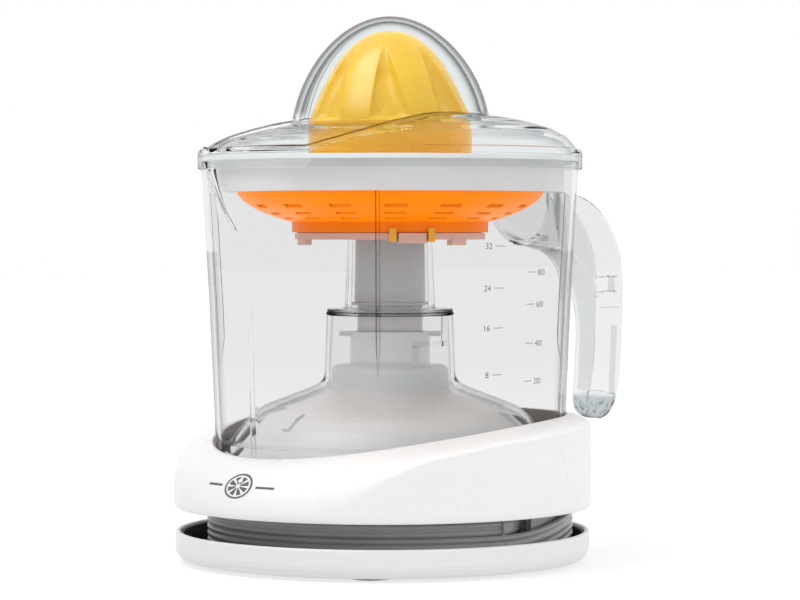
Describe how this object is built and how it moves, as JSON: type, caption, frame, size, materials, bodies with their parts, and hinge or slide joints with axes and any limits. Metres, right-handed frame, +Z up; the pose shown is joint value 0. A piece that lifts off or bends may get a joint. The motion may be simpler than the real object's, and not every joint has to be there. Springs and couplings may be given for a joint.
{
  "type": "citrus press juicer",
  "caption": "Electric citrus press: clear pitcher with spout and handle, strainer basket, nested reamers and domed lid on a motor base with a cord spool.",
  "frame": {"origin": "on the floor, on the spindle's axis, at the sole of the middle foot", "axes": "+Z up along the spindle, -Y towards the spout, +Y towards the handle, +X to the right seen from the spout"},
  "size_m": [0.1688, 0.2139, 0.2195],
  "materials": {
    "foot_rubber": "matt moulded",
    "tray_white": "semi-gloss moulded",
    "liner_black": "matt moulded",
    "spool_grey": "matt moulded",
    "housing_white": "gloss moulded",
    "cover_grey": "semi-gloss moulded",
    "carrier_grey": "glass-filled",
    "steel": "ground",
    "laminated_iron": "stamped laminations",
    "coil_copper": "enamelled winding",
    "bush_brass": "turned",
    "cord_grey": "satin flexible",
    "button_red": "matt moulded",
    "gear_white": "natural acetal",
    "magnet_iron": "sintered",
    "clear_plastic": "clear gloss",
    "shaft_grey": "semi-gloss moulded",
    "collar_grey": "semi-gloss moulded",
    "basket_orange": "gloss moulded",
    "pulp_pink": "translucent moulded",
    "clip_amber": "translucent moulded",
    "reamer_yellow": "gloss moulded",
    "lid_clear": "clear gloss"
  },
  "bodies": {
    "base": {"rubber_feet": "foot_rubber", "base_tray": "tray_white", "tray_liner": "liner_black", "cord_spool": "spool_grey", "housing": "housing_white", "motor_cover": "cover_grey", "base_screws": "steel", "gear_carrier": "carrier_grey", "gear_plate": "steel", "plate_screws": "steel", "stator_core": "laminated_iron", "stator_coil": "coil_copper", "rotor_bushes": "bush_brass", "idler_pin": "steel", "spindle_bush": "bush_brass", "tower_bush": "bush_brass", "return_spring": "steel", "switch_body": "liner_black", "terminal_block": "gear_white", "strain_relief": "cord_grey", "power_cord": "cord_grey", "plug_body": "cord_grey", "plug_blades": "bush_brass"},
    "thrust": {"thrust_plate": "gear_white"},
    "button": {"switch_button": "button_red"},
    "spindle": {"spindle": "steel", "output_gear": "gear_white"},
    "idler": {"compound_gear": "gear_white"},
    "rotor": {"rotor_shaft": "steel", "rotor_magnet": "magnet_iron", "motor_pinion": "bush_brass"},
    "pitcher": {"pitcher": "clear_plastic", "pitcher_handle": "clear_plastic"},
    "washer": {"thrust_washer": "shaft_grey"},
    "shaft": {"drive_shaft": "shaft_grey"},
    "basket": {"basket_rim": "collar_grey", "strainer_basket": "basket_orange"},
    "pulp_control": {"pulp_ring": "pulp_pink", "ring_clips": "clip_amber"},
    "small_cone": {"small_reamer": "reamer_yellow"},
    "large_cone": {"large_reamer": "reamer_yellow"},
    "lid": {"lid": "lid_clear"}
  },
  "joints": [
    {"name": "spindle_press", "type": "slide", "parent": "base", "child": "thrust", "axis": [0, 0, 1], "range_m": [-0.0025, 0], "stiffness_N_per_m": 1600, "springref_m": 0.003, "deforming": ["return_spring"]},
    {"name": "spindle_spin", "type": "hinge", "parent": "thrust", "child": "spindle", "pos_m": [0, 0, 0.05], "axis": [0, 0, 1], "continuous": true},
    {"name": "idler_spin", "type": "hinge", "parent": "base", "child": "idler", "pos_m": [0.0242, -0.01561, 0.03], "axis": [0, 0, 1], "continuous": true},
    {"name": "rotor_spin", "type": "hinge", "parent": "base", "child": "rotor", "pos_m": [0.01016, -0.04075, 0.03], "axis": [0, 0, 1], "continuous": true},
    {"name": "button_press", "type": "slide", "parent": "base", "child": "button", "axis": [0, 0, 1], "range_m": [-0.0025, 0]},
    {"name": "pitcher_lift", "type": "slide", "parent": "base", "child": "pitcher", "axis": [0, 0, 1], "range_m": [0, 0.11]},
    {"name": "washer_press", "type": "slide", "parent": "pitcher", "child": "washer", "axis": [0, 0, 1], "range_m": [-0.0025, 0]},
    {"name": "shaft_spin", "type": "hinge", "parent": "washer", "child": "shaft", "pos_m": [0, 0, 0.11], "axis": [0, 0, 1], "continuous": true},
    {"name": "basket_lift", "type": "slide", "parent": "pitcher", "child": "basket", "axis": [0, 0, 1], "range_m": [0, 0.07]},
    {"name": "pulp_turn", "type": "hinge", "parent": "basket", "child": "pulp_control", "pos_m": [0, 0, 0.132], "axis": [0, 0, 1], "range_deg": [0, 11]},
    {"name": "small_cone_lift", "type": "slide", "parent": "shaft", "child": "small_cone", "axis": [0, 0, 1], "range_m": [0, 0.07]},
    {"name": "large_cone_lift", "type": "slide", "parent": "small_cone", "child": "large_cone", "axis": [0, 0, 1], "range_m": [0, 0.06]},
    {"name": "lid_lift", "type": "slide", "parent": "basket", "child": "lid", "axis": [0, 0, 1], "range_m": [0, 0.13]}
  ],
  "couplings": [
    {"joint": "idler_spin", "follows": "rotor_spin", "ratio": -0.2},
    {"joint": "spindle_spin", "follows": "rotor_spin", "ratio": 0.04},
    {"joint": "button_press", "follows": "spindle_press", "ratio": 1},
    {"joint": "washer_press", "follows": "spindle_press", "ratio": 1},
    {"joint": "shaft_spin", "follows": "rotor_spin", "ratio": 0.04},
    {"joint": "small_cone_lift", "follows": "basket_lift", "ratio": 1},
    {"joint": "large_cone_lift", "follows": "lid_lift", "ratio": 0.45}
  ]
}
